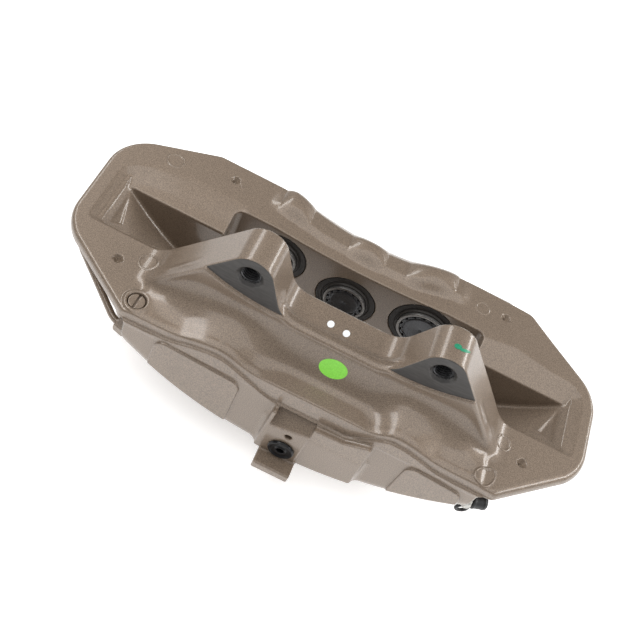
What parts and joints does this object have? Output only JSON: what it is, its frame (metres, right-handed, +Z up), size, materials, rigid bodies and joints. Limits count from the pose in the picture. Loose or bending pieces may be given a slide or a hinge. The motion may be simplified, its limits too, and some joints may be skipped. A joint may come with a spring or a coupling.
{
  "type": "fixed brake caliper",
  "caption": "One-piece fixed brake caliper with opposed pistons in dust boots, threaded mounting lugs, crossover pipe, capped bleed screws and a plugged fluid inlet, in bronze-brown paint.",
  "frame": {"origin": "middle of the bounding box in plan, at the level of the flat back the caliper lies on", "axes": "+X along the caliper, +Y along the wheel axis away from the car's middle, +Z up from the back toward the wheel axis"},
  "size_m": [0.38, 0.18, 0.159],
  "materials": {
    "bronze_paint": "cast aluminium with satin bronze-brown metallic paint",
    "piston_metal": "turned, hard coated grey",
    "insert_dark": "dark phosphated",
    "boot_rubber": "matt moulded rubber",
    "seal_rubber": "smooth moulded rubber",
    "pipe_paint": "satin bronze-brown paint over steel",
    "plug_paint": "satin bronze-brown paint over steel",
    "bleed_zinc": "zinc plated",
    "cap_rubber": "matt black rubber",
    "plug_plastic": "moulded black plastic"
  },
  "bodies": {
    "caliper": {"caliper_body": "bronze_paint", "dust_boot_outboard_left": "boot_rubber", "piston_seal_outboard_left": "seal_rubber", "dust_boot_outboard_mid": "boot_rubber", "piston_seal_outboard_mid": "seal_rubber", "dust_boot_outboard_right": "boot_rubber", "piston_seal_outboard_right": "seal_rubber", "dust_boot_inboard_left": "boot_rubber", "piston_seal_inboard_left": "seal_rubber", "dust_boot_inboard_mid": "boot_rubber", "piston_seal_inboard_mid": "seal_rubber", "dust_boot_inboard_right": "boot_rubber", "piston_seal_inboard_right": "seal_rubber", "crossover_pipe": "pipe_paint", "crossover_nut_inboard_left": "pipe_paint", "crossover_nut_outboard_left": "pipe_paint", "gallery_plug": "plug_paint"},
    "piston_outboard_left_group": {"piston_outboard_left": "piston_metal", "piston_insert_outboard_left": "insert_dark"},
    "piston_outboard_mid_group": {"piston_outboard_mid": "piston_metal", "piston_insert_outboard_mid": "insert_dark"},
    "piston_outboard_right_group": {"piston_outboard_right": "piston_metal", "piston_insert_outboard_right": "insert_dark"},
    "piston_inboard_left_group": {"piston_inboard_left": "piston_metal", "piston_insert_inboard_left": "insert_dark"},
    "piston_inboard_mid_group": {"piston_inboard_mid": "piston_metal", "piston_insert_inboard_mid": "insert_dark"},
    "piston_inboard_right_group": {"piston_inboard_right": "piston_metal", "piston_insert_inboard_right": "insert_dark"},
    "bleed_screw_inboard_group": {"bleed_screw_inboard": "bleed_zinc"},
    "bleed_cap_inboard_group": {"bleed_cap_inboard": "cap_rubber"},
    "bleed_screw_outboard_group": {"bleed_screw_outboard": "bleed_zinc"},
    "bleed_cap_outboard_group": {"bleed_cap_outboard": "cap_rubber"},
    "inlet_plug_group": {"inlet_plug": "plug_plastic"}
  },
  "joints": [
    {"name": "piston_outboard_left_slide", "type": "slide", "parent": "caliper", "child": "piston_outboard_left_group", "axis": [0, -1, 0], "range_m": [0, 0.014]},
    {"name": "piston_outboard_mid_slide", "type": "slide", "parent": "caliper", "child": "piston_outboard_mid_group", "axis": [0, -1, 0], "range_m": [0, 0.014]},
    {"name": "piston_outboard_right_slide", "type": "slide", "parent": "caliper", "child": "piston_outboard_right_group", "axis": [0, -1, 0], "range_m": [0, 0.014]},
    {"name": "piston_inboard_left_slide", "type": "slide", "parent": "caliper", "child": "piston_inboard_left_group", "axis": [0, 1, 0], "range_m": [0, 0.014]},
    {"name": "piston_inboard_mid_slide", "type": "slide", "parent": "caliper", "child": "piston_inboard_mid_group", "axis": [0, 1, 0], "range_m": [0, 0.014]},
    {"name": "piston_inboard_right_slide", "type": "slide", "parent": "caliper", "child": "piston_inboard_right_group", "axis": [0, 1, 0], "range_m": [0, 0.014]},
    {"name": "bleed_screw_inboard_turn", "type": "hinge", "parent": "caliper", "child": "bleed_screw_inboard_group", "pos_m": [0.12329, -0.06479, 0.064], "axis": [0.9443, 0.329, 0], "range_deg": [0, 270]},
    {"name": "bleed_cap_inboard_pull", "type": "slide", "parent": "caliper", "child": "bleed_cap_inboard_group", "axis": [0.9443, 0.329, 0], "range_m": [0, 0.02]},
    {"name": "bleed_screw_outboard_turn", "type": "hinge", "parent": "caliper", "child": "bleed_screw_outboard_group", "pos_m": [0.12344, 0.07674, 0.064], "axis": [0.9653, -0.2613, 0], "range_deg": [0, 270]},
    {"name": "bleed_cap_outboard_pull", "type": "slide", "parent": "caliper", "child": "bleed_cap_outboard_group", "axis": [0.9653, -0.2613, 0], "range_m": [0, 0.02]},
    {"name": "inlet_plug_pull", "type": "slide", "parent": "caliper", "child": "inlet_plug_group", "axis": [0, -1, 0], "range_m": [0, 0.02]}
  ]
}
